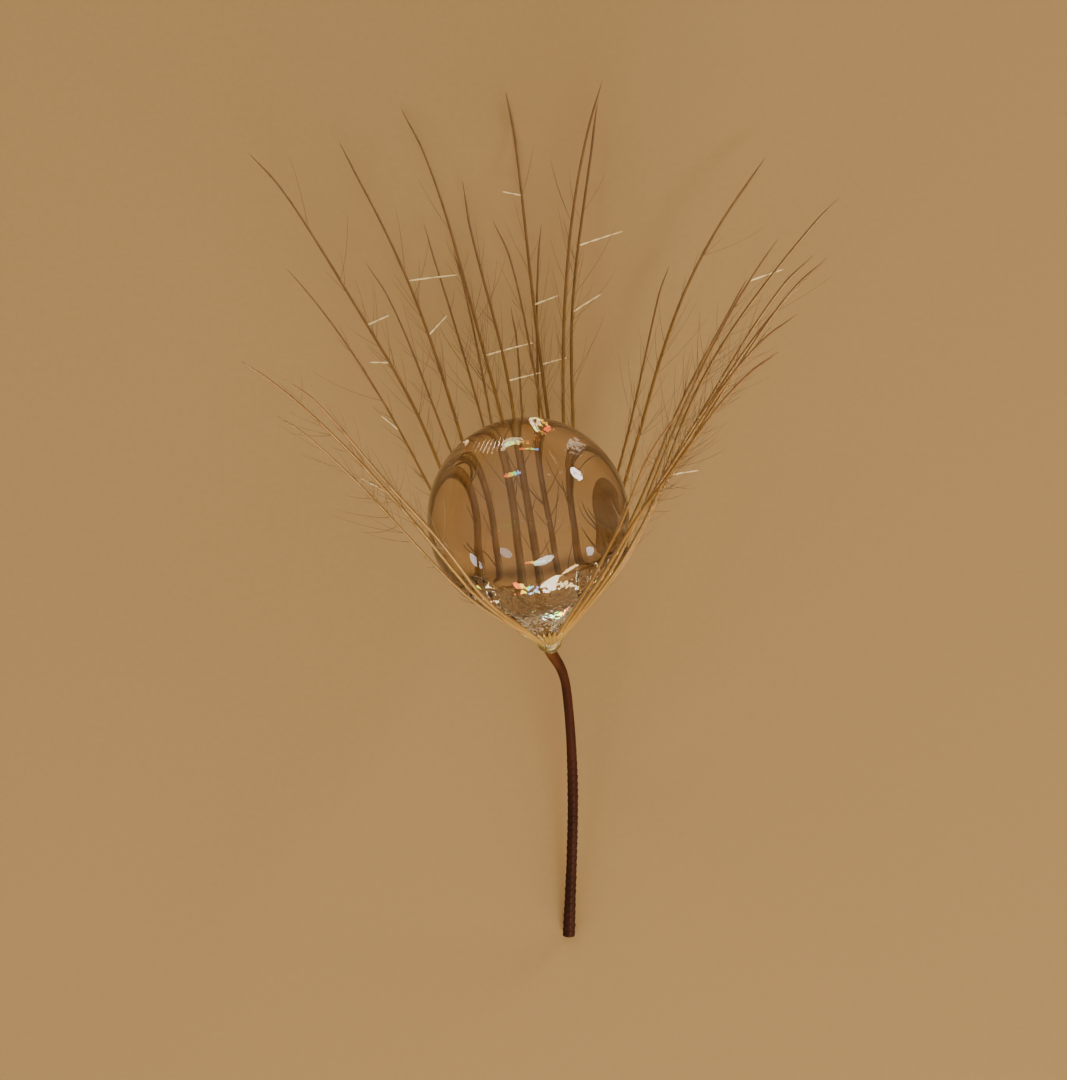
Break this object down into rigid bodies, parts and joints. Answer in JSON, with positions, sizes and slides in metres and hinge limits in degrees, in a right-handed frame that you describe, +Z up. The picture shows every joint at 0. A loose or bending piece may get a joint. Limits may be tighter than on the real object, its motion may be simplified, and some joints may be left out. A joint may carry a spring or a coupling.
{
  "type": "dandelion seed with a water drop",
  "caption": "Dandelion seed lying on a surface: a thin curved beak, a small collar and a cone of fine pappus rays that holds a clear round water drop.",
  "frame": {"origin": "on the surface that the seed lies on, under the middle of its bounding box", "axes": "+Z up from the surface; +Y along the seed, from the beak's foot towards the rays' tips; +X across it"},
  "size_m": [0.0058, 0.0086, 0.0054],
  "materials": {
    "beak": "dark red-brown dry plant stem with a faint gloss",
    "collar": "olive to golden translucent plant tissue",
    "pappus": "amber translucent plant hair with a silky gloss",
    "water": "clear water, very glossy"
  },
  "bodies": {
    "root": {"beak": "beak", "collar": "collar", "water_drop": "water", "ray_01": "pappus", "ray_02": "pappus", "ray_03": "pappus", "ray_04": "pappus", "ray_05": "pappus", "ray_06": "pappus", "ray_07": "pappus", "ray_08": "pappus", "ray_09": "pappus", "ray_10": "pappus", "ray_11": "pappus", "ray_12": "pappus", "ray_13": "pappus", "ray_14": "pappus", "ray_15": "pappus", "ray_16": "pappus", "ray_17": "pappus", "ray_18": "pappus", "ray_19": "pappus", "ray_20": "pappus", "ray_21": "pappus", "ray_22": "pappus", "ray_23": "pappus", "ray_24": "pappus", "ray_25": "pappus", "ray_26": "pappus", "ray_27": "pappus", "ray_28": "pappus", "ray_29": "pappus"}
  },
  "joints": []
}
